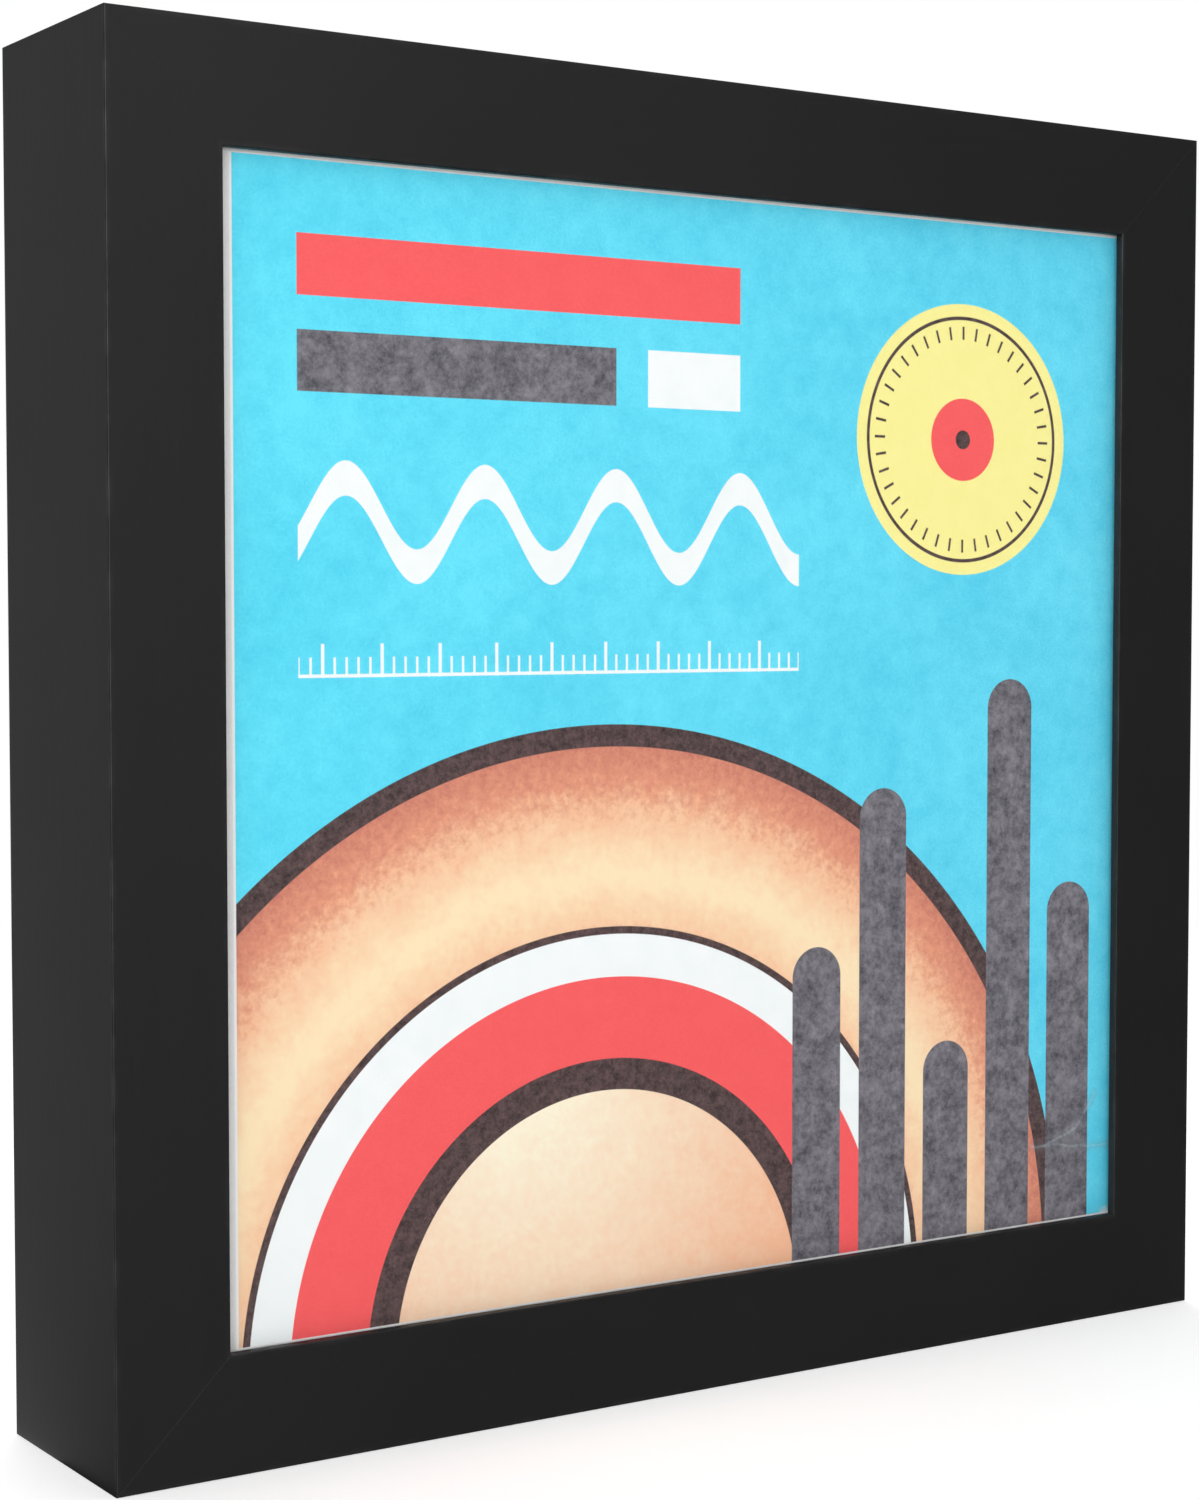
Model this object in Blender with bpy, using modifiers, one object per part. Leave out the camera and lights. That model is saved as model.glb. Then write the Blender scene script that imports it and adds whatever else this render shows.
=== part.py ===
"""Box frame for a 7 inch record sleeve, in metres, with +Z up and the picture side facing -Y.

A mitred square of rebated moulding holds, from the front, a clear pane, the folded card sleeve,
a backing card, a ring of spacer strips and a back panel. Turn buttons on the stiles keep the panel in.
A toothed hanger and two bumpers on the back keep the frame upright and parallel to a wall.
The origin is at the bottom centre of the whole part. Left and right are as seen from the front.
"""

import math

import bmesh
import bpy

# Fits and cuts: the gap kept between pieces that touch, and how far a cutter runs past what it cuts
GAP = 0.0003
CUT_OVERRUN = 0.002
WELD_DISTANCE = 0.00001
FLAT_ANGLE = math.radians(0.1)
SHARP_ANGLE = math.radians(30)
ROUND_SEGMENTS = 24
DOME_STEPS = 4
ROUNDING_SEGMENTS = 2

# Record sleeve: one sheet of card, folded at the spine into a pocket that is open on the right
SLEEVE_WIDTH = 0.1775
SLEEVE_HEIGHT = 0.1775
SLEEVE_CARD = 0.0004
SLEEVE_POCKET = 0.0004

# Moulding: its face, its depth, the lip that covers the sleeve's edge, and the room round the sleeve
FACE_WIDTH = 0.018
MOULDING_DEPTH = 0.038
LIP_COVER = 0.003
LIP_THICKNESS = 0.0015
SLEEVE_PLAY = 0.00125
EDGE_ROUNDING = 0.0004

# Sheets that fill the rebate, each cut a little under it
SHEET_PLAY = 0.0005
PANE_THICKNESS = 0.0012
BACKING_THICKNESS = 0.0016
PANEL_THICKNESS = 0.003
SPACER_WALL = 0.004

# Corner nails: folded steel wedges, driven across each mitre from behind
CORNER_NAIL_LEG = 0.005
CORNER_NAIL_STEEL = 0.0006
CORNER_NAIL_DEPTH = 0.010
CORNER_NAIL_OUTER_MARGIN = 0.0035
CORNER_NAIL_INNER_MARGIN = 0.0012

# Turn buttons: steel plates that swivel on a screw in the stile, two to each side
BUTTON_HEAD_RADIUS = 0.0045
BUTTON_TIP_RADIUS = 0.0032
BUTTON_REACH = 0.013
BUTTON_STEEL = 0.0008
BUTTON_EDGE = 0.00015
BUTTON_HEIGHT_SHARES = {"lower": 0.25, "upper": 0.75}
BUTTON_SCREW_HEAD_RADIUS = 0.0028
BUTTON_SCREW_HEAD_HEIGHT = 0.0016
BUTTON_SCREW_SHANK_RADIUS = 0.0013
BUTTON_SCREW_LENGTH = 0.012
BUTTON_SCREW_TIP = 0.003
RECESS_SPAN = 0.0030
RECESS_SLOT = 0.0009
RECESS_ARM_END = 0.0006
RECESS_DEPTH = 0.0010

# Toothed hanger: a steel strip whose middle stands off the frame, so that a nail's head goes behind it
WALL_GAP = 0.0035
HANGER_LENGTH = 0.045
HANGER_HEIGHT = 0.010
HANGER_STEEL = 0.0008
HANGER_FOOT = 0.009
HANGER_RAMP = 0.0025
HANGER_TEETH = 9
HANGER_TOOTH_PITCH = 0.0022
HANGER_TOOTH_DEPTH = 0.0018
HANGER_NAIL_HEAD_RADIUS = 0.0018
HANGER_NAIL_HEAD_HEIGHT = 0.0009
HANGER_NAIL_SHANK_RADIUS = 0.0007
HANGER_NAIL_LENGTH = 0.010
HANGER_NAIL_TIP = 0.002

# Bumpers: soft round pads near the bottom corners, as thick as the hanger stands off
BUMPER_RADIUS = 0.0045
BUMPER_EDGE = 0.0006
BUMPER_INSET = 0.026

# Finishes: linear colour, roughness, metallic
FINISHES = {
    "black_paint": ((0.024, 0.024, 0.025), 0.45, 0.0),
    "clear_plastic": ((0.95, 0.96, 0.97), 0.05, 0.0),
    "printed_card": ((0.13, 0.70, 0.90), 0.45, 0.0),
    "grey_board": ((0.45, 0.43, 0.40), 0.85, 0.0),
    "black_fibreboard": ((0.03, 0.03, 0.03), 0.80, 0.0),
    "brown_hardboard": ((0.26, 0.15, 0.08), 0.75, 0.0),
    "zinc_steel": ((0.60, 0.60, 0.58), 0.38, 1.0),
    "brass_steel": ((0.62, 0.45, 0.20), 0.35, 1.0),
    "black_rubber": ((0.02, 0.02, 0.02), 0.70, 0.0),
}

# Sizes that follow from the sleeve and the moulding
WALL_WIDTH = FACE_WIDTH - LIP_COVER
REBATE_WIDTH = SLEEVE_WIDTH + 2 * SLEEVE_PLAY
REBATE_HEIGHT = SLEEVE_HEIGHT + 2 * SLEEVE_PLAY
OUTER_WIDTH = REBATE_WIDTH + 2 * WALL_WIDTH
OUTER_HEIGHT = REBATE_HEIGHT + 2 * WALL_WIDTH
SHEET_WIDTH = REBATE_WIDTH - 2 * SHEET_PLAY
SHEET_HEIGHT = REBATE_HEIGHT - 2 * SHEET_PLAY
SLEEVE_THICKNESS = 2 * SLEEVE_CARD + SLEEVE_POCKET

# Planes from the front to the wall, and the floor of the rebate
FRONT_Y = -(MOULDING_DEPTH + WALL_GAP) / 2
BACK_Y = FRONT_Y + MOULDING_DEPTH
WALL_Y = BACK_Y + WALL_GAP
REBATE_FRONT_Y = FRONT_Y + LIP_THICKNESS
PANE_FRONT_Y = REBATE_FRONT_Y + GAP
SLEEVE_FRONT_Y = PANE_FRONT_Y + PANE_THICKNESS + GAP
BACKING_FRONT_Y = SLEEVE_FRONT_Y + SLEEVE_THICKNESS + GAP
SPACER_FRONT_Y = BACKING_FRONT_Y + BACKING_THICKNESS + GAP
PANEL_FRONT_Y = BACK_Y - PANEL_THICKNESS
SPACER_BACK_Y = PANEL_FRONT_Y - GAP
REBATE_FLOOR_Z = WALL_WIDTH
REBATE_CEILING_Z = OUTER_HEIGHT - WALL_WIDTH

# Turns that stand an outline up to face the front, and a turned profile to point out of the back
FACE_ON = math.pi / 2
POINT_BACK = -math.pi / 2


def new_collection(name, parent):
    """Collection under another one."""
    collection = bpy.data.collections.new(name)
    parent.children.link(collection)
    return collection


def finish_material(finish):
    """Principled material of one finish, made the first time that it is asked for."""
    material = bpy.data.materials.get(finish)
    if material:
        return material
    colour, roughness, metallic = FINISHES[finish]
    material = bpy.data.materials.new(finish)
    material.use_nodes = True
    surface = material.node_tree.nodes["Principled BSDF"]
    surface.inputs["Base Color"].default_value = (*colour, 1.0)
    surface.inputs["Roughness"].default_value = roughness
    surface.inputs["Metallic"].default_value = metallic
    material.diffuse_color = (*colour, 1.0)
    return material


def add_piece(name, mesh, place, finish, tilt=0.0, turn=0.0):
    """Named sub-part at its place, tilted about X and then turned about Y."""
    piece = bpy.data.objects.new(name, mesh)
    parts.objects.link(piece)
    piece.parent = whole_frame
    piece.location = place
    piece.rotation_euler = (tilt, turn, 0.0)
    if not mesh.materials:
        mesh.materials.append(finish_material(finish))
    return piece


def add_cutter(name, mesh, place, collection, tilt=0.0, turn=0.0):
    """Solid that is only cut away from others."""
    cutter = bpy.data.objects.new(name, mesh)
    collection.objects.link(cutter)
    cutter.location = place
    cutter.rotation_euler = (tilt, turn, 0.0)
    cutter.hide_render = True
    cutter.display_type = "WIRE"
    return cutter


def cut(piece, cutter):
    """Take one cutter away from a piece."""
    boolean = piece.modifiers.new("Cut " + cutter.name, "BOOLEAN")
    boolean.operation = "DIFFERENCE"
    boolean.solver = "EXACT"
    boolean.object = cutter


def evaluated_mesh(guide):
    """Closed mesh of a curve or a turned profile, welded, with its guide removed."""
    bpy.context.scene.collection.objects.link(guide)
    evaluated = guide.evaluated_get(bpy.context.evaluated_depsgraph_get())
    mesh = bpy.data.meshes.new_from_object(evaluated)
    bpy.data.objects.remove(guide)
    shape = bmesh.new()
    shape.from_mesh(mesh)
    bmesh.ops.remove_doubles(shape, verts=shape.verts, dist=WELD_DISTANCE)
    shape.to_mesh(mesh)
    shape.free()
    mesh.shade_smooth()
    mesh.set_sharp_from_angle(angle=SHARP_ANGLE)
    return mesh


def plate_mesh(name, outlines, thickness):
    """Flat plate in local XY: the first outline is its rim, and any others are holes."""
    curve = bpy.data.curves.new(name, "CURVE")
    curve.dimensions = "2D"
    curve.fill_mode = "BOTH"
    curve.extrude = thickness / 2
    for outline in outlines:
        spline = curve.splines.new("POLY")
        spline.points.add(len(outline) - 1)
        for point, (x, y) in zip(spline.points, outline):
            point.co = (x, y, 0.0, 1.0)
        spline.use_cyclic_u = True
    return evaluated_mesh(bpy.data.objects.new(name, curve))


def turned_mesh(name, profile):
    """Turned solid about local Z, from (radius, height) points that run down its outer side."""
    mesh = bpy.data.meshes.new(name)
    shape = bmesh.new()
    points = [shape.verts.new((radius, 0.0, height)) for radius, height in profile]
    for upper, lower in zip(points, points[1:]):
        shape.edges.new((upper, lower))
    shape.to_mesh(mesh)
    shape.free()
    guide = bpy.data.objects.new(name, mesh)
    screw = guide.modifiers.new("Turn", "SCREW")
    screw.steps = ROUND_SEGMENTS
    screw.render_steps = ROUND_SEGMENTS
    screw.use_merge_vertices = True
    screw.merge_threshold = WELD_DISTANCE
    return evaluated_mesh(guide)


def box_mesh(name, width, depth, height):
    """Box centred on its own origin."""
    mesh = bpy.data.meshes.new(name)
    shape = bmesh.new()
    bmesh.ops.create_cube(shape, size=1.0)
    bmesh.ops.scale(shape, vec=(width, depth, height), verts=shape.verts)
    shape.to_mesh(mesh)
    shape.free()
    return mesh


def cylinder_mesh(name, radius, length):
    """Cylinder along local Z, centred on its own origin."""
    mesh = bpy.data.meshes.new(name)
    shape = bmesh.new()
    bmesh.ops.create_cone(
        shape, cap_ends=True, segments=ROUND_SEGMENTS, radius1=radius, radius2=radius, depth=length
    )
    shape.to_mesh(mesh)
    shape.free()
    return mesh


def arc(radius, start, end, steps, centre_x=0.0):
    """Points on an arc about (centre_x, 0), both ends included."""
    angles = [start + (end - start) * step / steps for step in range(steps + 1)]
    return [(centre_x + radius * math.cos(angle), radius * math.sin(angle)) for angle in angles]


def dome(radius, height):
    """Profile of a domed head, from the middle of its top down to its rim."""
    angles = [math.pi / 2 * step / DOME_STEPS for step in range(DOME_STEPS + 1)]
    return [(radius * math.sin(angle), height * math.cos(angle)) for angle in angles]


def pin_profile(head_radius, head_height, shank_radius, length, tip):
    """Profile of a screw or a nail whose head stands on height 0 and whose point is at -length."""
    shank = [(shank_radius, 0.0), (shank_radius, tip - length), (0.0, -length)]
    return dome(head_radius, head_height) + shank


def add_pilot(name, radius, x, z, depth, reach):
    """Round cutter for a screw or nail, from its depth in the wood to a little past its reach behind it."""
    length = depth + reach + CUT_OVERRUN
    middle_y = BACK_Y - depth + length / 2
    return add_cutter(name, cylinder_mesh(name, radius, length), (x, middle_y, z), rail_cutters, FACE_ON)


def add_moulding(name, length, x, z, turn):
    """Mitred length of moulding: its outer edge is on local y = 0, and its face reaches down from there."""
    setback = GAP / math.sqrt(2)
    half = length / 2
    outline = [
        (setback - half, 0.0),
        (setback - half + FACE_WIDTH, -FACE_WIDTH),
        (half - FACE_WIDTH - setback, -FACE_WIDTH),
        (half - setback, 0.0),
    ]
    mesh = plate_mesh(name, [outline], MOULDING_DEPTH)
    shape = bmesh.new()
    shape.from_mesh(mesh)
    bmesh.ops.dissolve_limit(shape, angle_limit=FLAT_ANGLE, verts=shape.verts, edges=shape.edges)
    weights = shape.edges.layers.float.new("bevel_weight_edge")
    for edge in shape.edges:
        start, end = (vert.co for vert in edge.verts)
        runs_along = abs(start.y - end.y) < WELD_DISTANCE and abs(start.z - end.z) < WELD_DISTANCE
        is_outer = start.y > -WELD_DISTANCE
        is_front = start.z > 0
        edge[weights] = 1.0 if runs_along and (is_outer or is_front) else 0.0
    shape.to_mesh(mesh)
    shape.free()
    mesh.set_sharp_from_angle(angle=SHARP_ANGLE)
    piece = add_piece(name, mesh, (x, (FRONT_Y + BACK_Y) / 2, z), "black_paint", FACE_ON, turn)
    rounding = piece.modifiers.new("Rounded edges", "BEVEL")
    rounding.limit_method = "WEIGHT"
    rounding.width = EDGE_ROUNDING
    rounding.segments = ROUNDING_SEGMENTS
    boolean = piece.modifiers.new("Cut rebate, slots and holes", "BOOLEAN")
    boolean.operation = "DIFFERENCE"
    boolean.solver = "EXACT"
    boolean.operand_type = "COLLECTION"
    boolean.collection = rail_cutters


def add_frame():
    """Two rails and two stiles, mitred at the corners, and the rebate that is cut into all four."""
    depth = BACK_Y - REBATE_FRONT_Y + CUT_OVERRUN
    place = (0.0, REBATE_FRONT_Y + depth / 2, OUTER_HEIGHT / 2)
    add_cutter("rebate_cutter", box_mesh("rebate_cutter", REBATE_WIDTH, depth, REBATE_HEIGHT), place, rail_cutters)
    add_moulding("top_rail", OUTER_WIDTH, 0.0, OUTER_HEIGHT, 0.0)
    add_moulding("bottom_rail", OUTER_WIDTH, 0.0, 0.0, math.pi)
    add_moulding("left_stile", OUTER_HEIGHT, -OUTER_WIDTH / 2, OUTER_HEIGHT / 2, -math.pi / 2)
    add_moulding("right_stile", OUTER_HEIGHT, OUTER_WIDTH / 2, OUTER_HEIGHT / 2, math.pi / 2)


def corner_nail_outline(seat, grow):
    """L of folded steel whose fold lies on the mitre, drawn for the top left corner and grown all round."""
    near = seat - grow
    inner = seat + CORNER_NAIL_STEEL + grow
    far = seat + CORNER_NAIL_LEG + grow
    corner = [(near, near), (far, near), (far, inner), (inner, inner), (inner, far), (near, far)]
    return [(across, -down) for across, down in corner]


def add_corner_nails():
    """Two nails across each mitre, and the slots that they have made in the wood."""
    corners = {
        "top_left": (-OUTER_WIDTH / 2, OUTER_HEIGHT),
        "top_right": (OUTER_WIDTH / 2, OUTER_HEIGHT),
        "bottom_right": (OUTER_WIDTH / 2, 0.0),
        "bottom_left": (-OUTER_WIDTH / 2, 0.0),
    }
    seats = {
        "outer": CORNER_NAIL_OUTER_MARGIN,
        "inner": WALL_WIDTH - CORNER_NAIL_INNER_MARGIN - CORNER_NAIL_LEG,
    }
    nail_y = BACK_Y - CORNER_NAIL_DEPTH / 2
    slot_depth = CORNER_NAIL_DEPTH + GAP + CUT_OVERRUN
    slot_y = BACK_Y + CUT_OVERRUN - slot_depth / 2
    for quarter, (corner, (x, z)) in enumerate(corners.items()):
        turn = quarter * math.pi / 2
        for row, seat in seats.items():
            name = f"corner_nail_{corner}_{row}"
            nail = plate_mesh(name, [corner_nail_outline(seat, 0.0)], CORNER_NAIL_DEPTH)
            add_piece(name, nail, (x, nail_y, z), "zinc_steel", FACE_ON, turn)
            slot = plate_mesh(name, [corner_nail_outline(seat, GAP)], slot_depth)
            add_cutter(name + "_slot", slot, (x, slot_y, z), rail_cutters, FACE_ON, turn)


def add_sheet(name, width, thickness, height, front_y, finish):
    """Upright sheet that stands on the floor of the rebate."""
    place = (0.0, front_y + thickness / 2, REBATE_FLOOR_Z + GAP + height / 2)
    return add_piece(name, box_mesh(name, width, thickness, height), place, finish)


def add_sheets():
    """Pane, record sleeve, backing card and back panel."""
    add_sheet("glazing_pane", SHEET_WIDTH, PANE_THICKNESS, SHEET_HEIGHT, PANE_FRONT_Y, "clear_plastic")
    sleeve = add_sheet(
        "record_sleeve", SLEEVE_WIDTH, SLEEVE_THICKNESS, SLEEVE_HEIGHT, SLEEVE_FRONT_Y, "printed_card"
    )
    pocket_width = SLEEVE_WIDTH - SLEEVE_CARD + CUT_OVERRUN
    pocket = box_mesh("pocket_cutter", pocket_width, SLEEVE_POCKET, SLEEVE_HEIGHT - 2 * SLEEVE_CARD)
    pocket_x = SLEEVE_WIDTH / 2 + CUT_OVERRUN - pocket_width / 2
    cut(sleeve, add_cutter("pocket_cutter", pocket, (pocket_x, *sleeve.location[1:]), cutters))
    add_sheet("backing_card", SHEET_WIDTH, BACKING_THICKNESS, SHEET_HEIGHT, BACKING_FRONT_Y, "grey_board")
    add_sheet("back_panel", SHEET_WIDTH, PANEL_THICKNESS, SHEET_HEIGHT, PANEL_FRONT_Y, "brown_hardboard")


def add_spacers():
    """Four strips that line the rebate and press the backing card forward when the panel is closed."""
    depth = SPACER_BACK_Y - SPACER_FRONT_Y
    middle_y = (SPACER_FRONT_Y + SPACER_BACK_Y) / 2
    middle_z = (REBATE_FLOOR_Z + REBATE_CEILING_Z) / 2
    level_length = REBATE_WIDTH - 2 * GAP
    upright_length = REBATE_HEIGHT - 2 * (SPACER_WALL + 2 * GAP)
    level_offset = REBATE_HEIGHT / 2 - GAP - SPACER_WALL / 2
    upright_offset = REBATE_WIDTH / 2 - GAP - SPACER_WALL / 2
    for name, side in (("spacer_top", 1), ("spacer_bottom", -1)):
        mesh = box_mesh(name, level_length, depth, SPACER_WALL)
        add_piece(name, mesh, (0.0, middle_y, middle_z + side * level_offset), "black_fibreboard")
    for name, side in (("spacer_left", -1), ("spacer_right", 1)):
        mesh = box_mesh(name, SPACER_WALL, depth, upright_length)
        add_piece(name, mesh, (side * upright_offset, middle_y, middle_z), "black_fibreboard")


def button_outlines():
    """Tapered plate with round ends, its screw hole on the origin and its tip towards local +X."""
    tangent = math.acos((BUTTON_HEAD_RADIUS - BUTTON_TIP_RADIUS) / BUTTON_REACH)
    head = arc(BUTTON_HEAD_RADIUS, tangent, 2 * math.pi - tangent, ROUND_SEGMENTS // 2)
    tip = arc(BUTTON_TIP_RADIUS, -tangent, tangent, ROUND_SEGMENTS // 2, BUTTON_REACH)
    hole = arc(BUTTON_SCREW_SHANK_RADIUS + GAP, 0.0, 2 * math.pi, ROUND_SEGMENTS)
    return [head + tip, hole[:-1]]


def recess_outline():
    """Cross for a crosshead driver, whose arms narrow towards their ends."""
    far = RECESS_SPAN / 2
    near = RECESS_SLOT / 2
    end = RECESS_ARM_END / 2
    quarter = [(far, -end), (far, end), (near, near)]
    turns = [(1, 0), (0, 1), (-1, 0), (0, -1)]
    return [(x * cos - y * sin, x * sin + y * cos) for cos, sin in turns for x, y in quarter]


def add_turn_buttons():
    """Two buttons on each stile, closed over the back panel, and the screws that they swivel on."""
    button_y = BACK_Y + GAP + BUTTON_STEEL / 2
    head_y = BACK_Y + BUTTON_STEEL + 2 * GAP
    recess_length = RECESS_DEPTH + CUT_OVERRUN
    recess_y = head_y + BUTTON_SCREW_HEAD_HEIGHT - RECESS_DEPTH + recess_length / 2
    screw_depth = BUTTON_SCREW_LENGTH - BUTTON_STEEL - GAP
    profile = pin_profile(
        BUTTON_SCREW_HEAD_RADIUS,
        BUTTON_SCREW_HEAD_HEIGHT,
        BUTTON_SCREW_SHANK_RADIUS,
        BUTTON_SCREW_LENGTH,
        BUTTON_SCREW_TIP,
    )
    for side, direction, turn in (("left", -1, 0.0), ("right", 1, math.pi)):
        x = direction * (OUTER_WIDTH - WALL_WIDTH) / 2
        for level, share in BUTTON_HEIGHT_SHARES.items():
            place = f"{level}_{side}"
            z = OUTER_HEIGHT * share
            name = "turn_button_" + place
            plate = plate_mesh(name, button_outlines(), BUTTON_STEEL)
            button = add_piece(name, plate, (x, button_y, z), "zinc_steel", FACE_ON, turn)
            rounding = button.modifiers.new("Stamped edge", "BEVEL")
            rounding.width = BUTTON_EDGE
            rounding.segments = 1
            rounding.angle_limit = SHARP_ANGLE
            name = "turn_button_screw_" + place
            screw = add_piece(name, turned_mesh(name, profile), (x, head_y, z), "zinc_steel", POINT_BACK)
            recess = plate_mesh(name, [recess_outline()], recess_length)
            cut(screw, add_cutter(name + "_recess", recess, (x, recess_y, z), cutters, FACE_ON))
            add_pilot(name + "_pilot", BUTTON_SCREW_SHANK_RADIUS + GAP, x, z, screw_depth, 0.0)


def hanger_outline():
    """Strip seen from above: feet on y = 0, and a middle that ramps up to stand off them."""
    rise = WALL_GAP - GAP - HANGER_STEEL
    ramp_shift = HANGER_STEEL * math.tan(math.atan2(rise, HANGER_RAMP) / 2)
    half = HANGER_LENGTH / 2
    under = [(half, 0.0), (half - HANGER_FOOT, 0.0), (half - HANGER_FOOT - HANGER_RAMP, rise)]
    shifts = (0.0, ramp_shift, ramp_shift)
    over = [(x + shift, y + HANGER_STEEL) for (x, y), shift in zip(under, shifts)]
    right = under[::-1] + over
    left = [(-x, y) for x, y in reversed(right)]
    return right + left


def tooth_outline():
    """Row of notches along the hanger's lower edge, which runs on local y = 0."""
    first_x = -HANGER_TEETH * HANGER_TOOTH_PITCH / 2
    points = [(first_x, -CUT_OVERRUN)]
    for tooth in range(HANGER_TEETH):
        notch_x = first_x + tooth * HANGER_TOOTH_PITCH
        points += [(notch_x, 0.0), (notch_x + HANGER_TOOTH_PITCH / 2, HANGER_TOOTH_DEPTH)]
    return points + [(-first_x, 0.0), (-first_x, -CUT_OVERRUN)]


def add_hanger():
    """Toothed hanger on the middle of the top rail, with a nail through each foot."""
    middle_z = OUTER_HEIGHT - WALL_WIDTH / 2
    foot_y = BACK_Y + GAP
    mesh = plate_mesh("sawtooth_hanger", [hanger_outline()], HANGER_HEIGHT)
    hanger = add_piece("sawtooth_hanger", mesh, (0.0, foot_y, middle_z), "brass_steel")
    teeth = plate_mesh("teeth_cutter", [tooth_outline()], HANGER_STEEL + 2 * CUT_OVERRUN)
    teeth_place = (0.0, WALL_Y - HANGER_STEEL / 2, middle_z - HANGER_HEIGHT / 2)
    cut(hanger, add_cutter("teeth_cutter", teeth, teeth_place, cutters, FACE_ON))
    head_y = foot_y + HANGER_STEEL + GAP
    profile = pin_profile(
        HANGER_NAIL_HEAD_RADIUS,
        HANGER_NAIL_HEAD_HEIGHT,
        HANGER_NAIL_SHANK_RADIUS,
        HANGER_NAIL_LENGTH,
        HANGER_NAIL_TIP,
    )
    nail_depth = HANGER_NAIL_LENGTH - HANGER_STEEL - GAP
    for side, direction in (("left", -1), ("right", 1)):
        x = direction * (HANGER_LENGTH - HANGER_FOOT) / 2
        name = "hanger_nail_" + side
        add_piece(name, turned_mesh(name, profile), (x, head_y, middle_z), "brass_steel", POINT_BACK)
        hole_radius = HANGER_NAIL_SHANK_RADIUS + GAP
        pilot = add_pilot(name + "_pilot", hole_radius, x, middle_z, nail_depth, HANGER_STEEL + GAP)
        cut(hanger, pilot)


def add_bumpers():
    """Two round pads on the back of the bottom rail."""
    height = WALL_GAP - GAP
    profile = [
        (0.0, height),
        (BUMPER_RADIUS - BUMPER_EDGE, height),
        (BUMPER_RADIUS, height - BUMPER_EDGE),
        (BUMPER_RADIUS, 0.0),
        (0.0, 0.0),
    ]
    for name, side in (("bumper_left", -1), ("bumper_right", 1)):
        place = (side * (OUTER_WIDTH / 2 - BUMPER_INSET), BACK_Y + GAP, WALL_WIDTH / 2)
        add_piece(name, turned_mesh(name, profile), place, "black_rubber", POINT_BACK)


for old in list(bpy.data.objects):
    bpy.data.objects.remove(old)

parts = new_collection("vinyl_record_frame", bpy.context.scene.collection)
cutters = new_collection("cutters", bpy.context.scene.collection)
rail_cutters = new_collection("rail_cutters", cutters)
whole_frame = bpy.data.objects.new("whole_frame", None)
parts.objects.link(whole_frame)

add_frame()
add_corner_nails()
add_sheets()
add_spacers()
add_turn_buttons()
add_hanger()
add_bumpers()
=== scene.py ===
# %% [markdown]
# # A box frame for a record sleeve
# The real object is a square of black moulding, 38 mm deep. It holds the folded card sleeve of a 7 inch
# record behind a clear pane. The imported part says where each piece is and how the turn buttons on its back
# swivel. This scene gives the pieces their finish, and models again those whose edges and corners show.
# The part is loaded first and never changed. Its box is kept, because the dressed frame stays inside it.

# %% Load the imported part
import math
from contextlib import contextmanager

import bmesh
import bpy
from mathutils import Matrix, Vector


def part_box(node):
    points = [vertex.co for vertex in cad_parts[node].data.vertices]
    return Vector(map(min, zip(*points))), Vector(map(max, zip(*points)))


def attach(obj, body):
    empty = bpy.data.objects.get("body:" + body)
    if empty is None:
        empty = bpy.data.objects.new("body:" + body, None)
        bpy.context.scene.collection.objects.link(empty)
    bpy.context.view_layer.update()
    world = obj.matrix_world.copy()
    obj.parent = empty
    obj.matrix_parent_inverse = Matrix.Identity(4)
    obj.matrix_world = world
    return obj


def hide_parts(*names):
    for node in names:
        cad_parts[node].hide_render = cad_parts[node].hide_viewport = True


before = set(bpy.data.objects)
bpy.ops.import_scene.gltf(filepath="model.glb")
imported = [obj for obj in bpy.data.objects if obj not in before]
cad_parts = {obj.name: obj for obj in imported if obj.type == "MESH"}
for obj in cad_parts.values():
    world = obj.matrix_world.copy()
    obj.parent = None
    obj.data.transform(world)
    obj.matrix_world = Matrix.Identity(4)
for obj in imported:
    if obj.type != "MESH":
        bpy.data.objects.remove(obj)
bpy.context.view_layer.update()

# %% [markdown]
# ## Sizes from the part
# A piece that replaces a solid has to lie where the solid lies. So the planes of the frame are read off the
# solids' boxes, and only what a box can't tell, such as the lip inside the moulding, is a value of its own.

# %% Planes of the frame
LIP_COVER = 0.003
LIP_THICKNESS = 0.0015

top_low, top_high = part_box("top_rail")
front_y = top_low.y
back_y = top_high.y
outer_height = top_high.z
outer_half = -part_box("left_stile")[0].x
face_width = top_high.z - top_low.z
lip_back_y = front_y + LIP_THICKNESS
rebate_top = top_low.z + LIP_COVER
middle = Vector((0.0, 0.0, outer_height / 2))
print("moulding, mm:", round(face_width * 1000, 1), "wide and", round((back_y - front_y) * 1000, 1), "deep")

# %% [markdown]
# ## Camera
# The photograph looks at the frame from its left and a little from above, with a long lens. Its place was
# worked out from the frame's corners in the photograph. The lens is the focal length in pixels of the
# photograph, turned into millimetres on a sensor whose long side is as long as the photograph.

# %% Camera at the photograph's place
PHOTO_HEIGHT_PX = 1500
FOCAL_LENGTH_PX = 2820.9
SENSOR_MM = 36.0
CAMERA_PLACE = (-0.26418, -0.38847, 0.12611)
CAMERA_YAW = math.radians(-33.257)
CAMERA_PITCH = math.radians(-2.850)
CAMERA_NEAR = 0.01

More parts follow.
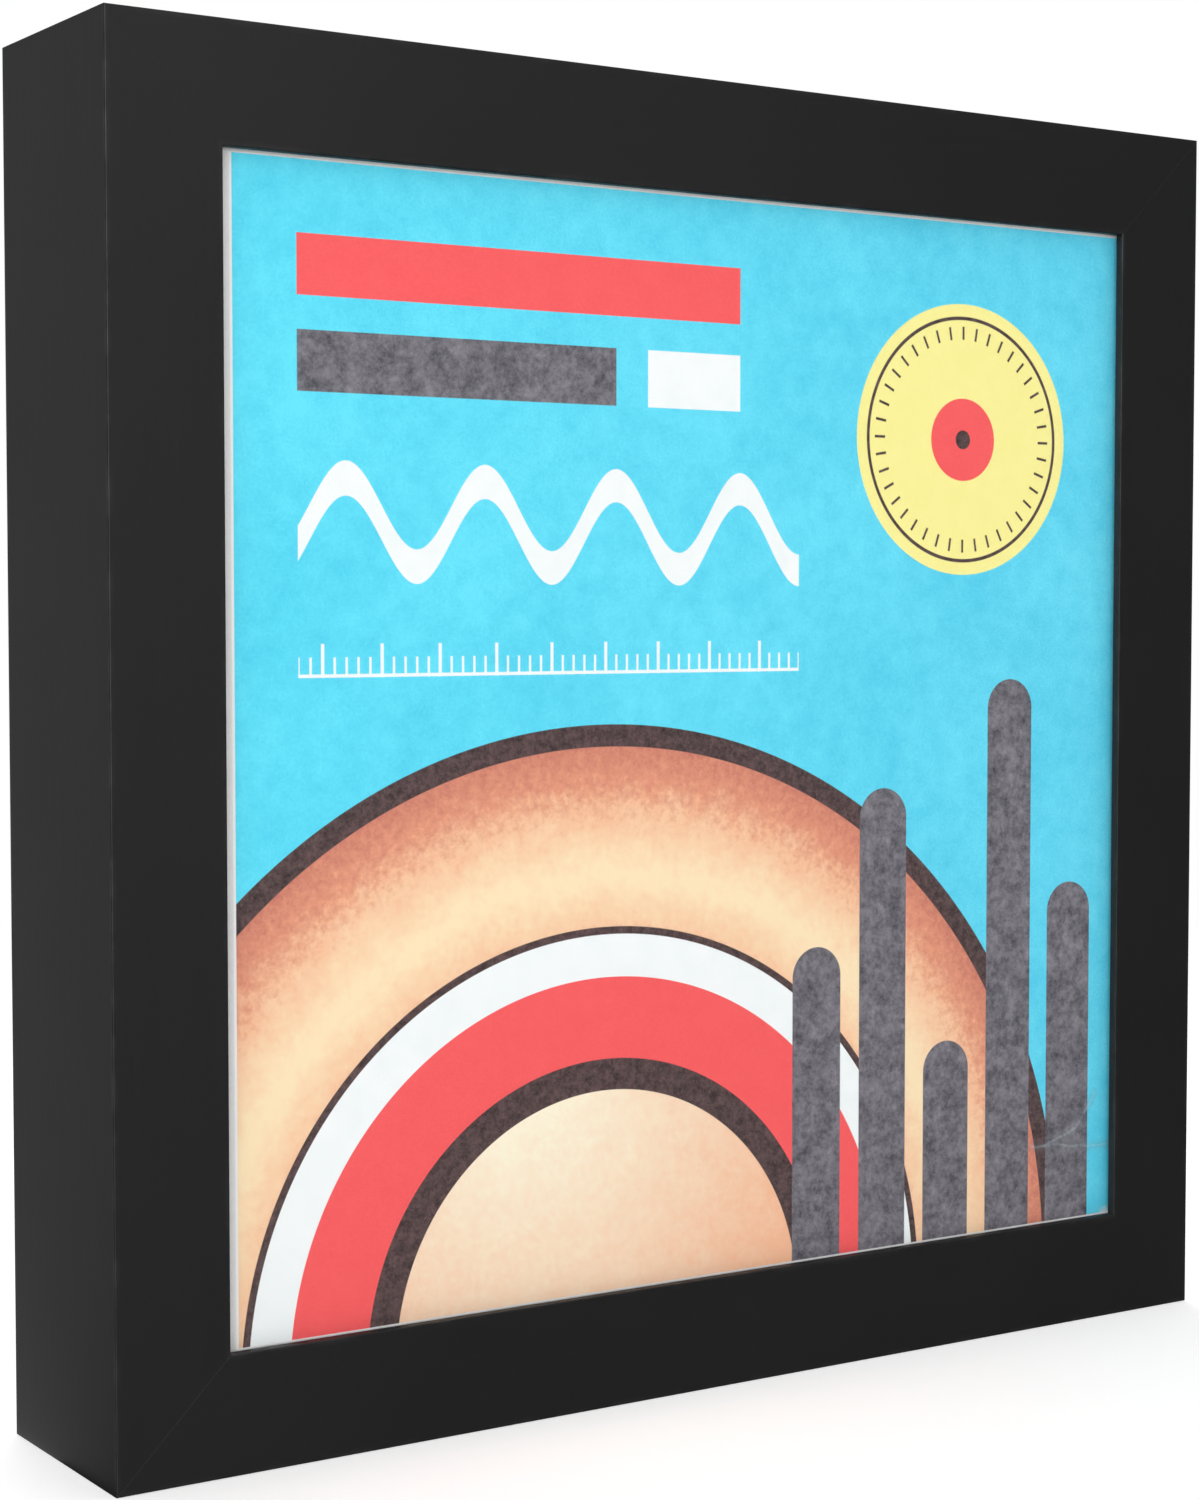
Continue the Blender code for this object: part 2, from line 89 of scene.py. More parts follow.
camera_data = bpy.data.cameras.new("camera")
camera_data.sensor_width = SENSOR_MM
camera_data.lens = FOCAL_LENGTH_PX * SENSOR_MM / PHOTO_HEIGHT_PX
camera_data.clip_start = CAMERA_NEAR
camera = bpy.data.objects.new("camera", camera_data)
camera.location = CAMERA_PLACE
camera.rotation_euler = (math.pi / 2 + CAMERA_PITCH, 0.0, CAMERA_YAW)
bpy.context.scene.collection.objects.link(camera)
bpy.context.scene.camera = camera
bpy.context.scene.view_settings.view_transform = "Standard"
print("lens, mm:", round(camera_data.lens, 2))

# %% [markdown]
# ## Shader maths
# A finish is worked out from numbers that change over the surface. Each is the output socket of a node.
# The class below wraps such a socket, so that a plain sum or product in Python adds the Math node for it.
# Any other node comes from one method, which sets the node's own settings first and then feeds its sockets.

# %% Values and nodes
class Value:
    """Output of a shader node, on which Python's sums and products add Math nodes."""

    def __init__(self, nodes, socket):
        self.nodes = nodes
        self.socket = socket

    def math(self, operation, *others, clamp=False):
        """Math node that takes this value and then the others."""
        settings = {"operation": operation, "use_clamp": clamp}
        return self.nodes.node("ShaderNodeMath", settings, dict(enumerate((self, *others))))

    def __add__(self, other):
        return self.math("ADD", other)

    def __sub__(self, other):
        return self.math("SUBTRACT", other)

    def __rsub__(self, other):
        return self.math("MULTIPLY_ADD", -1.0, other)

    def __mul__(self, other):
        return self.math("MULTIPLY", other)

    def __truediv__(self, other):
        return self.math("DIVIDE", other)

    def __abs__(self):
        return self.math("ABSOLUTE")

    __radd__ = __add__
    __rmul__ = __mul__

    def clamped(self):
        """This value kept between 0 and 1."""
        return self.math("ADD", 0.0, clamp=True)

    def and_at_most(self, other):
        """The smaller of two values."""
        return self.math("MINIMUM", other)

    def or_at_least(self, other):
        """The larger of two values."""
        return self.math("MAXIMUM", other)


class Nodes:
    """Node tree of a material or of the world, with its nodes made by one method."""

    def __init__(self, tree):
        self.tree = tree

    def node(self, kind, settings=None, sockets=None, output=0):
        """New node of a kind, with its settings and then its sockets. Gives one of its outputs."""
        made = self.tree.nodes.new(kind)
        for name, setting in (settings or {}).items():
            setattr(made, name, setting)
        self.feed(made, sockets or {})
        return Value(self, made.outputs[output])

    def feed(self, node, sockets):
        """Link values to a node's sockets, and set numbers and colours on them directly."""
        for key, value in sockets.items():
            socket = node.inputs[key]
            if isinstance(value, Value):
                self.tree.links.new(value.socket, socket)
            elif socket.type == "RGBA":
                socket.default_value = (*value, 1.0)
            else:
                socket.default_value = value

    def vector_math(self, operation, *inputs, output=0):
        """Vector Math node that takes vectors and values in their order."""
        return self.node("ShaderNodeVectorMath", {"operation": operation}, dict(enumerate(inputs)), output)

    def steps(self, value, low, high):
        """Smooth step from 0 at low to 1 at high."""
        sockets = {"Value": value, "From Min": low, "From Max": high}
        return self.node("ShaderNodeMapRange", {"interpolation_type": "SMOOTHSTEP"}, sockets)

    def mixed(self, factor, first, second):
        """Colour between two colours."""
        return self.node("ShaderNodeMix", {"data_type": "RGBA"}, {0: factor, 6: first, 7: second}, output=2)

    def ray(self, *names):
        """What the Light Path node tells of a ray, by the names of its outputs."""
        outputs = self.node("ShaderNodeLightPath").socket.node.outputs
        return [Value(self, outputs[name]) for name in names]

    def first_look(self):
        """Whether a ray shows the background to the camera, straight or through glass, or in a mirror."""
        camera_ray, transmitted, glossy = self.ray("Is Camera Ray", "Is Transmission Ray", "Is Glossy Ray")
        scatters, reflections = self.ray("Diffuse Depth", "Glossy Depth")
        unscattered = 1.0 - scatters.and_at_most(1.0)
        reflected = reflections.and_at_most(1.0)
        seen = camera_ray.or_at_least(transmitted * unscattered * (1.0 - reflected))
        return seen, glossy.or_at_least(transmitted) * unscattered * reflected


class Finish(Nodes):
    """Principled material whose patterns follow the object's own coordinates, in metres."""

    def __init__(self, name):
        self.material = bpy.data.materials.new(name)
        self.material.use_nodes = True
        super().__init__(self.material.node_tree)
        self.principled = self.tree.nodes["Principled BSDF"]
        self.place = self.node("ShaderNodeTexCoord", output="Object")

    def axes(self):
        """The three object coordinates."""
        split = self.node("ShaderNodeSeparateXYZ", sockets={0: self.place})
        return [Value(self, socket) for socket in split.socket.node.outputs]

    def noise(self, size, stretch=(1.0, 1.0, 1.0), detail=3.0, roughness=0.5):
        """Cloudy noise whose lumps are about as large as size, longer along an axis that is stretched."""
        shrink = [1 / longer for longer in stretch]
        scaled = self.node("ShaderNodeMapping", sockets={"Vector": self.place, "Scale": shrink})
        sockets = {"Vector": scaled, "Scale": 1 / size, "Detail": detail, "Roughness": roughness}
        return self.node("ShaderNodeTexNoise", sockets=sockets)

    def bump(self, height, depth):
        """Normal of a surface whose relief is height times depth, in metres."""
        return self.node("ShaderNodeBump", sockets={"Height": height, "Distance": depth})

    def show(self, **sockets):
        """Feed the Principled shader, whose sockets are named with underlines for spaces."""
        self.feed(self.principled, {name.replace("_", " "): value for name, value in sockets.items()})
        return self.material


def wear(material, *pieces):
    """Give pieces one material and no other."""
    for piece in pieces:
        piece.data.materials.clear()
        piece.data.materials.append(material)


# %% [markdown]
# ## Studio
# The photograph has no room in it, only white. So the world is white wherever the camera looks past the
# frame. A glossy surface mirrors a white backdrop behind the frame and a dim room in front of it, as in a
# studio, and the light that the world throws on the frame is set apart from both. The floor is pale and
# keeps a soft shadow. Further out it fades into the same white, so that it has no edge, and in a glossy
# surface it goes on from the backdrop above it. On the floor close beside the frame, that direction is led
# some way towards the backdrop, or the foot of the left side would mirror a dark corner.

# %% World
AMBIENT = 0.66
ROOM_GLOW = 0.075
BACKDROP_WAY = Vector((0.47, 0.88, 0.0)).normalized()
BACKDROP_EDGE = math.cos(math.radians(64))
BACKDROP_FULL = math.cos(math.radians(32))


def backdrop(nodes, way):
    """Glow of the backdrop, as a glossy surface mirrors it, in a direction that is levelled first."""
    level = nodes.vector_math("MULTIPLY", way, (1.0, 1.0, 0.0))
    unit = nodes.vector_math("NORMALIZE", level)
    toward = nodes.vector_math("DOT_PRODUCT", unit, BACKDROP_WAY, output="Value")
    return ROOM_GLOW + (1.0 - ROOM_GLOW) * nodes.steps(toward, BACKDROP_EDGE, BACKDROP_FULL)


world = bpy.data.worlds.new("studio")
bpy.context.scene.world = world
world.use_nodes = True
sky = Nodes(world.node_tree)
seen, mirrored = sky.first_look()
sky_backdrop = backdrop(sky, sky.node("ShaderNodeTexCoord", output="Generated"))
glow = seen + mirrored * sky_backdrop + (1.0 - seen - mirrored) * AMBIENT
sky.feed(world.node_tree.nodes["Background"], {"Color": (1.0, 1.0, 1.0), "Strength": glow})
world.cycles.sampling_method = "NONE"

# %% Floor
FLOOR_SIDES = 96
FLOOR_RADIUS = 6.0
FLOOR_DROP = 0.00005
FLOOR_FADE = (0.2, 0.7)
FLOOR_LIFT = 0.43
SIDE_LEAD = (-0.033, 0.085, 0.0)
SIDE_FADE = 0.003

bpy.ops.object.select_all(action="DESELECT")
bpy.ops.mesh.primitive_circle_add(
    vertices=FLOOR_SIDES, radius=FLOOR_RADIUS, fill_type="NGON", location=(0.0, 0.0, -FLOOR_DROP)
)
floor = bpy.context.object
floor.name = "floor"
ground = Finish("pale_floor")
distance = ground.vector_math("LENGTH", ground.place, output="Value")
seen, mirrored = ground.first_look()
ground.show(Base_Color=(0.8, 0.8, 0.8), Roughness=1.0, Specular_IOR_Level=0.0)


def glowing(strength):
    """White glow of a strength."""
    return ground.node("ShaderNodeEmission", sockets={"Color": (1.0, 1.0, 1.0), "Strength": strength})


def shader_mix(factor, first, second):
    """Shader between two shaders."""
    return ground.node("ShaderNodeMixShader", sockets={0: factor, 1: first, 2: second})


lit = Value(ground, ground.principled.outputs[0])
pale = ground.node("ShaderNodeAddShader", sockets={0: lit, 1: glowing(FLOOR_LIFT * seen)})
faded = shader_mix(ground.steps(distance, *FLOOR_FADE) * seen, pale, glowing(1.0))
from_side = ground.vector_math("SUBTRACT", ground.place, (-outer_half, 0.0, 0.0))
beside = ground.steps(ground.axes()[0], -outer_half, -outer_half - SIDE_FADE)
led = ground.vector_math("MULTIPLY_ADD", SIDE_LEAD, beside, from_side)
whole_floor = shader_mix(mirrored, faded, glowing(backdrop(ground, led)))
ground.tree.links.new(whole_floor.socket, ground.tree.nodes["Material Output"].inputs["Surface"])
wear(ground.material, floor)

# %% [markdown]
# The lamps stand well away, so that the print is lit evenly. The softbox hangs in front of the frame, a
# little to the left of it and above. It only shows in glossy surfaces: the satin paint of the top left corner
# catches its glow, and the bottom right corner doesn't. The front light stands low and on the camera's side,
# so that the moulding's shadow falls where the camera doesn't see it. The others light the floor, the left
# side and the back.

# %% Lamps
LAMPS = {
    "softbox": {"place": (-0.55, -2.4, 1.75), "size": (1.7, 1.7), "watts": 60.0, "glow_only": True},
    "front_light": {"place": (-1.35, -2.25, 0.32), "size": (1.6, 0.4), "watts": 35.0, "glow_only": False},
    "top_light": {"place": (0.0, 0.3, 2.4), "size": (2.0, 2.0), "watts": 8.0, "glow_only": False},
    "side_fill": {"place": (-2.6, 0.2, 0.9), "size": (1.6, 1.6), "watts": 3.0, "glow_only": False},
    "back_fill": {"place": (0.9, 2.6, 1.5), "size": (1.8, 1.8), "watts": 40.0, "glow_only": False},
}

for name, lamp in LAMPS.items():
    data = bpy.data.lights.new(name, "AREA")
    data.shape = "RECTANGLE"
    data.size, data.size_y = lamp["size"]
    data.energy = lamp["watts"]
    lamp_object = bpy.data.objects.new(name, data)
    lamp_object.location = lamp["place"]
    lamp_object.visible_diffuse = not lamp["glow_only"]
    lamp_object.visible_transmission = not lamp["glow_only"]
    aim = middle - Vector(lamp["place"])
    lamp_object.rotation_euler = aim.to_track_quat("-Z", "Y").to_euler()
    bpy.context.scene.collection.objects.link(lamp_object)
    print(name, "stands", round(aim.length, 2), "m away")

# %% [markdown]
# ## Ways of working
# Every new piece starts as a simple block or disc at its real size and place, and is shaped in edit mode as
# by hand. An operator acts on all that is selected, so each step first says what it works on: faces, edges
# or corners that a small test picks by their place or their normal.

# %% Helpers for edit mode
CLOSE = 0.000002
ALIGNED = 0.99
FLAT_ENOUGH = math.radians(0.5)


def close(first, second):
    """Whether two lengths are the same, but for rounding."""
    return abs(first - second) < CLOSE


def pick_piece(piece):
    """Select one piece alone, and make it the active one."""
    bpy.ops.object.select_all(action="DESELECT")
    piece.select_set(True)
    bpy.context.view_layer.objects.active = piece


@contextmanager
def editing(piece):
    """Edit mode on one piece, with all of it selected at first."""
    pick_piece(piece)
    bpy.ops.object.mode_set(mode="EDIT")
    bpy.ops.mesh.select_all(action="SELECT")
    yield
    bpy.ops.object.mode_set(mode="OBJECT")


def pick(kind, wanted):
    """Select only the faces, edges or corners (FACE, EDGE or VERT) that pass a test."""
    bpy.ops.mesh.select_mode(type=kind)
    bpy.ops.mesh.select_all(action="DESELECT")
    mesh = bpy.context.edit_object.data
    shape = bmesh.from_edit_mesh(mesh)
    elements = {"FACE": shape.faces, "EDGE": shape.edges, "VERT": shape.verts}[kind]
    picked = [element for element in elements if wanted(element)]
    for element in picked:
        element.select_set(True)
    shape.select_flush_mode()
    bmesh.update_edit_mesh(mesh)
    return len(picked)


def facing(axis, sign):
    """Test for faces whose normal points along an axis (0, 1 or 2), up or down it."""
    return lambda face: face.normal[axis] * sign > ALIGNED


def edge_ends(edge, test):
    """Whether both ends of an edge pass a test on their place."""
    return all(test(vert.co) for vert in edge.verts)


def runs_along(edge, axis):
    """Whether an edge runs straight along an axis (0, 1 or 2)."""
    start, end = (vert.co for vert in edge.verts)
    return all(close(start[i], end[i]) for i in range(3) if i != axis)


def extrude(move):
    """Extrude what is selected, and move it."""
    bpy.ops.mesh.extrude_region_move(TRANSFORM_OT_translate={"value": move})


def slice_at(place, normal, keep_both=True):
    """Cut the whole piece by a plane. Without keep_both, the side that the normal points to goes."""
    bpy.ops.mesh.select_all(action="SELECT")
    bpy.ops.mesh.bisect(plane_co=place, plane_no=normal, clear_outer=not keep_both, use_fill=not keep_both)


def named(name):
    """The object just added, with its place moved into its mesh, and named."""
    bpy.ops.object.transform_apply(location=True, rotation=True, scale=True)
    piece = bpy.context.object
    piece.name = name
    piece.data.name = name
    return piece


def add_block(name, low, high):
    """Block between two corners."""
    low, high = Vector(low), Vector(high)
    bpy.ops.object.select_all(action="DESELECT")
    bpy.ops.mesh.primitive_cube_add(size=1.0, location=(low + high) / 2, scale=high - low)
    return named(name)


def add_disc(name, radius, low_y, high_y, x, z, vertices=48):
    """Round block with its axis along Y."""
    bpy.ops.object.select_all(action="DESELECT")
    bpy.ops.mesh.primitive_cylinder_add(
        vertices=vertices,
        radius=radius,
        depth=high_y - low_y,
        location=(x, (low_y + high_y) / 2, z),
        rotation=(math.pi / 2, 0.0, 0.0),
    )
    return named(name)


def copy_of(piece, name):
    """Copy of a piece, with its own mesh."""
    pick_piece(piece)
    bpy.ops.object.duplicate(linked=False)
    copy = bpy.context.object
    copy.name = name
    copy.data.name = name
    return copy


def cut_out(piece, cutters):
    """Take cutters away from a piece, one after the other, and join the doubled corners that this leaves."""
    for cutter in cutters:
        boolean = piece.modifiers.new("Cut", "BOOLEAN")
        boolean.object = cutter
        boolean.solver = "EXACT"
        pick_piece(piece)
        bpy.ops.object.modifier_apply(modifier=boolean.name)
    with editing(piece):
        bpy.ops.mesh.remove_doubles(threshold=CLOSE)


def smooth(piece, degrees=30.0):
    """Shade a piece smoothly, but for its sharp edges, with the large faces kept flat."""
    pick_piece(piece)
    bpy.ops.object.shade_smooth_by_angle(angle=math.radians(degrees))
    weighted = piece.modifiers.new("Flat faces", "WEIGHTED_NORMAL")
    weighted.keep_sharp = True
    weighted.weight = 100
    bpy.ops.object.modifier_apply(modifier=weighted.name)


def settle(piece, body, slot, *nodes):
    """Let a finished piece ride on its body, in place of the solids that it stands for."""
    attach(piece, body)
    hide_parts(*nodes)
    corners = [vert.co for vert in piece.data.vertices]
    size = [round((max(c[i] for c in corners) - min(c[i] for c in corners)) * 1000, 2) for i in range(3)]
    print(piece.name, "mm:", size, "faces:", len(piece.data.polygons))


# %% [markdown]
# ## Moulding
# The real frame is four lengths of wood moulding, cut at 45 degrees and joined, under black satin paint. In
# the solids, a gap of 0.3 mm parts them at each mitre, which would show as a bright line. Here the mitres
# meet, with their edges eased by a hair, as a saw and a coat of paint leave them. The long edges are crisp in
# the photograph, so they are only just rounded.
# One length is shaped, the top one: a bar, with a lip pulled down from its front. A plane slices off each
# end, and the long edges that a hand can touch are rounded. The other three are turned copies.

# %% Top length
EDGE_ROUNDING = 0.0002
LIP_ROUNDING = 0.0002
MITRE_EASING = 0.00003


def at_outer_edge(co):
    """Whether a point lies where the outer side meets the front or the back."""
    return close(co.z, outer_height) and (close(co.y, front_y) or close(co.y, back_y))


def at_window_edge(co):
    """Whether a point lies where the front ends at the window."""
    return close(co.y, front_y) and close(co.z, top_low.z)


def on_mitre(co):
    """Whether a point lies on one of the two mitres."""
    return close(outer_half - abs(co.x), outer_height - co.z)


top = add_block("top_moulding", (-outer_half, front_y, rebate_top), (outer_half, back_y, outer_height))
with editing(top):
    slice_at((0.0, lip_back_y, 0.0), (0.0, 1.0, 0.0))
    underside = facing(2, -1)
    pick("FACE", lambda face: underside(face) and face.calc_center_median().y < lip_back_y)
    extrude((0.0, 0.0, -LIP_COVER))
    for side in (-1, 1):
        slice_at((side * outer_half, 0.0, outer_height), (side, 0.0, -1.0), keep_both=False)
    bpy.ops.mesh.select_all(action="SELECT")
    bpy.ops.mesh.dissolve_limited(angle_limit=FLAT_ENOUGH)
    pick("EDGE", lambda edge: runs_along(edge, 0) and edge_ends(edge, at_outer_edge))
    bpy.ops.mesh.bevel(offset=EDGE_ROUNDING, segments=4, affect="EDGES")
    pick("EDGE", lambda edge: edge_ends(edge, at_window_edge))
    bpy.ops.mesh.bevel(offset=LIP_ROUNDING, segments=3, affect="EDGES")
    eased = pick("EDGE", lambda edge: edge_ends(edge, on_mitre))
    bpy.ops.mesh.bevel(offset=MITRE_EASING, segments=1, affect="EDGES")
print("eased edges round the mitres:", eased)

# %% The other three lengths
QUARTER_TURNS = {"left_moulding": 1, "bottom_moulding": 2, "right_moulding": 3}

mouldings = {"top_moulding": top}
for name, turns in QUARTER_TURNS.items():
    moulding = copy_of(top, name)
    with editing(moulding):
        bpy.ops.transform.rotate(value=turns * math.pi / 2, orient_axis="Y", center_override=middle)
    mouldings[name] = moulding
    spot = sum((vert.co for vert in moulding.data.vertices), Vector()) / len(moulding.data.vertices)
    print(name, "is centred at, mm:", [round(c * 1000) for c in spot])

# %% [markdown]
# The corner nails, the screws and the hanger's nails have driven their own slots and holes into the wood.
# Each cutter is a copy of the solid that made the hole. Its triangles are merged into whole faces, so that it
# grows evenly, by a hair all round. The steel then fits tightly and still shows its outline.

# %% Slots and holes in the wood
DRIVEN = ("corner_nail", "hanger_nail", "turn_button_screw")
DRIVEN_ROOM = 0.00004

driven = [node for node in sorted(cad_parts) if node.startswith(DRIVEN)]
cutters = []
for node in driven:
    cutter = bpy.data.objects.new("cutter_" + node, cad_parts[node].data.copy())
    bpy.context.scene.collection.objects.link(cutter)
    with editing(cutter):
        bpy.ops.mesh.remove_doubles(threshold=CLOSE)
        bpy.ops.mesh.dissolve_limited(angle_limit=FLAT_ENOUGH)
        bpy.ops.transform.shrink_fatten(value=DRIVEN_ROOM, use_even_offset=True)
    cutters.append(cutter)


def boxes_meet(first, second):
    """Whether the boxes of two pieces overlap."""
    spans = []
    for piece in (first, second):
        corners = [vert.co for vert in piece.data.vertices]
        spans.append([(min(c[i] for c in corners), max(c[i] for c in corners)) for i in range(3)])
    return all(a[0] < b[1] and b[0] < a[1] for a, b in zip(*spans))


for moulding in mouldings.values():
    near = [cutter for cutter in cutters if boxes_meet(moulding, cutter)]
    cut_out(moulding, near)
    print(moulding.name, "is cut by", len(near), "cutters")
for cutter in cutters:
    bpy.data.objects.remove(cutter)

# %% [markdown]
# The paint is a smooth satin black that hides the wood. What is left to see is a faint orange peel from
# spraying, a trace of the grain along each length, and a little more polish in some places than in others.
# Along the edges that hands touch, it is rubbed a little thinner and smoother, in patches. An edge is where
# two of the frame's planes are near, so the mask for it is worked out from the distances to these planes.
# The grain runs along X in the rails and along Z in the stiles, so there are two materials from one function.

# %% Satin black paint
RUBBED_WIDTH = 0.0011


def black_paint(name, grain):
    """Black paint over wood whose grain is stretched along an axis."""
    finish = Finish(name)
    x, y, z = finish.axes()

    def near(way_off):
        """1 at a plane, fading to 0 over the rubbed width."""
        return 1.0 - finish.steps(abs(way_off), 0.0, RUBBED_WIDTH)

    reach = abs(x).or_at_least(abs(z - middle.z))
    front = near(y - front_y)
    outer_edges = near(reach - outer_half).and_at_most(front.or_at_least(near(y - back_y)))
    window_edge = near(reach - (outer_half - face_width)).and_at_most(front)
    patches = finish.steps(finish.noise(0.007, detail=5.0, roughness=0.6), 0.42, 0.64)
    rubbed = outer_edges.or_at_least(window_edge) * patches
    clouds = finish.noise(0.04, detail=2.0)
    peel = finish.noise(0.0011, detail=2.0)
    fibres = finish.noise(0.0007, stretch=grain, detail=3.0)
    paint = finish.mixed(clouds, (0.0049, 0.0049, 0.0053), (0.0068, 0.0068, 0.0072))
    return finish.show(
        Base_Color=finish.mixed(0.7 * rubbed, paint, (0.022, 0.021, 0.021)),
        Roughness=0.50 + 0.06 * clouds + 0.06 * fibres - 0.10 * rubbed,
        Specular_IOR_Level=0.4,
        Normal=finish.bump(0.6 * peel + 0.4 * fibres, 0.00002),
    )


level_paint = black_paint("black_paint_level_grain", (30.0, 1.0, 1.0))
upright_paint = black_paint("black_paint_upright_grain", (1.0, 1.0, 30.0))
stands_for = {
    "top_moulding": "top_rail",
    "bottom_moulding": "bottom_rail",
    "left_moulding": "left_stile",
    "right_moulding": "right_stile",
}
for name, node in stands_for.items():
    moulding = mouldings[name]
    smooth(moulding)
    wear(level_paint if node.endswith("rail") else upright_paint, moulding)
    settle(moulding, "frame", "black_moulding", node)

# %% [markdown]
# ## Pane
# The pane is a flat sheet of clear acrylic, and its solid has the right shape, so it only needs its finish:
# a smooth dielectric that light passes. Cycles finds no lamp through a refracting sheet. So for the rays
# that gather light, the ones to a lamp and the ones that the print scatters, the pane is simply not there.

# %% Clear acrylic
clear = Finish("clear_acrylic")
clear.show(Base_Color=(0.985, 0.99, 0.99), Roughness=0.0, IOR=1.49, Transmission_Weight=1.0)
no_pane = clear.node("ShaderNodeBsdfTransparent")
to_lamp, scattered = clear.ray("Is Shadow Ray", "Is Diffuse Ray")
gathering = to_lamp.or_at_least(scattered)
pane_glass = Value(clear, clear.principled.outputs[0])
passed = clear.node("ShaderNodeMixShader", sockets={0: gathering, 1: pane_glass, 2: no_pane})
clear.tree.links.new(passed.socket, clear.tree.nodes["Material Output"].inputs["Surface"])
wear(clear.material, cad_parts["glazing_pane"])

# %% [markdown]
# ## Record sleeve
# A record sleeve is one sheet of card, folded at the left into a pocket that is open at the right, where the
# record slides in. It starts as a block. The right face is inset by the card's thickness and pushed in
# almost to the fold, which leaves thin walls. The fold is a generous round, and cut edges are nearly sharp.

# %% Folded card
SLEEVE_CARD = 0.0004
FOLD_ROUNDING = 0.0005
CARD_EDGE = 0.00008

sleeve_low, sleeve_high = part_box("record_sleeve")
sleeve = add_block("folded_sleeve", sleeve_low, sleeve_high)
with editing(sleeve):
    pick("FACE", facing(0, 1))
    bpy.ops.mesh.inset(thickness=SLEEVE_CARD, use_even_offset=True)
    extrude((sleeve_low.x - sleeve_high.x + SLEEVE_CARD, 0.0, 0.0))
    pick("EDGE", lambda edge: edge_ends(edge, lambda co: close(co.x, sleeve_low.x)) and runs_along(edge, 2))
    bpy.ops.mesh.bevel(offset=FOLD_ROUNDING, segments=6, affect="EDGES")
    pick(
        "EDGE",
        lambda edge: edge_ends(edge, lambda co: close(co.x, sleeve_high.x))
        and (runs_along(edge, 1) or runs_along(edge, 2)),
    )
    bpy.ops.mesh.bevel(offset=CARD_EDGE, segments=2, affect="EDGES")
smooth(sleeve)

# %% [markdown]
# The print is a design of plain shapes in the colours of a sleeve from the sixties: half rings that rise
# from the lower edge, a row of level bars, a sound wave, a tuning scale and a yellow dial on a cyan ground.
# Every shape is a mask, worked out in millimetres from the middle of the sleeve: 1 inside its outline, 0
# outside. The masks lay one colour over another, as a printer would lay down inks.

# %% Masks for the print
MM = 0.001
PRINT_LEFT = -84.35
PRINT_TOP = 87.65
PRINT_BOTTOM = -86.1
INK_EDGE = 0.12

card = Finish("offset_print")
sleeve_middle = (sleeve_low + sleeve_high) / 2
world_x, world_y, world_z = card.axes()
across = (world_x - sleeve_middle.x) / MM
up = (world_z - sleeve_middle.z) / MM


def inside(reach):
    """1 where a reach in millimetres is above 0, with a soft edge as wide as ink spreads."""
    return (reach / INK_EDGE + 0.5).clamped()


def from_point(x, z):
    """Distance from a point of the print."""
    return ((across - x) * (across - x) + (up - z) * (up - z)).math("SQRT")


def disc(x, z, radius):
    """Round patch."""
    return inside(radius - from_point(x, z))


def ring(x, z, inner, outer):
    """Ring between two radii."""
    return inside((outer - inner) / 2 - abs(from_point(x, z) - (inner + outer) / 2))


def bar(left, right, low, high):
    """Upright rectangle."""
    over = (right - left) / 2 - abs(across - (left + right) / 2)
    tall = (high - low) / 2 - abs(up - (low + high) / 2)
    return inside(over.and_at_most(tall))


def rounded_bar(x, width, low, high):
    """Upright bar whose top is a half round."""
    end = high - width / 2
    return bar(x - width / 2, x + width / 2, low, end).or_at_least(disc(x, end, width / 2))


def repeated(value, pitch):
    """Distance from the nearest whole multiple of a pitch."""
    return abs(value.math("WRAP", pitch / 2, -pitch / 2))


# %% [markdown]
# The inks aren't flat. Offset print on card has a fine grain, the mixed tones are speckled, and large areas
# of one ink vary a little from place to place. The speckle is a fine noise that shifts each tone, and it is
# strong in the charcoal and tan, which are screened from several inks, and weak in the cyan ground, which is
# also a little lighter towards the left and darker and redder towards the right. The widest ring and the
# middle are shaded as with an airbrush: each tone depends on the distance from a point.

# %% Inks
RINGS_AT = (-20.0, -92.0)
WIDE_RING = (64.0, 92.5)
WIDE_RING_GLOW = 72.0
MIDDLE_RADIUS = 38.0
MIDDLE_GLOW_AT = (RINGS_AT[0] - 0.4 * MIDDLE_RADIUS, RINGS_AT[1] + MIDDLE_RADIUS)
CYAN_SHIFT_SPAN = 170.0
LIGHTER_TO_LEFT = 0.0006

grain = card.noise(0.00045, detail=3.0, roughness=0.7)
speckle = card.noise(0.0016, detail=5.0, roughness=0.8)
blotches = card.noise(0.0045, detail=4.0, roughness=0.65)
patches = card.noise(0.024, detail=3.0, roughness=0.6)


def toned(dark, light, share):
    """Ink between two tones, by a value from 0 to 1."""
    return card.mixed(share, dark, light)


def contrast(value, gain):
    """Value spread about a half, and kept between 0 and 1."""
    return ((value - 0.5) * gain + 0.5).clamped()


mottle = contrast(0.30 * patches + 0.34 * blotches + 0.36 * grain - LIGHTER_TO_LEFT * across, 3.6)
cyan_at_left = toned((0.063, 0.610, 0.835), (0.126, 0.785, 0.975), mottle)
cyan_at_right = toned((0.087, 0.610, 0.835), (0.173, 0.785, 0.975), mottle)
# the cyan ground turns a little darker and redder towards the right
cyan = toned(cyan_at_left, cyan_at_right, (across / CYAN_SHIFT_SPAN + 0.5).clamped())
airbrush = abs(from_point(*RINGS_AT) - WIDE_RING_GLOW) / (WIDE_RING[1] - WIDE_RING_GLOW)
sandy = contrast(airbrush + 0.5 * speckle + 0.5 * blotches - 0.4, 1.4)
rusty = contrast(0.7 * airbrush + 0.8 * speckle - 0.50, 1.8)
tan = toned(toned((0.990, 0.780, 0.500), (0.900, 0.390, 0.230), sandy), (0.500, 0.140, 0.110), rusty)
airbrush = from_point(*MIDDLE_GLOW_AT) / (2.0 * MIDDLE_RADIUS)
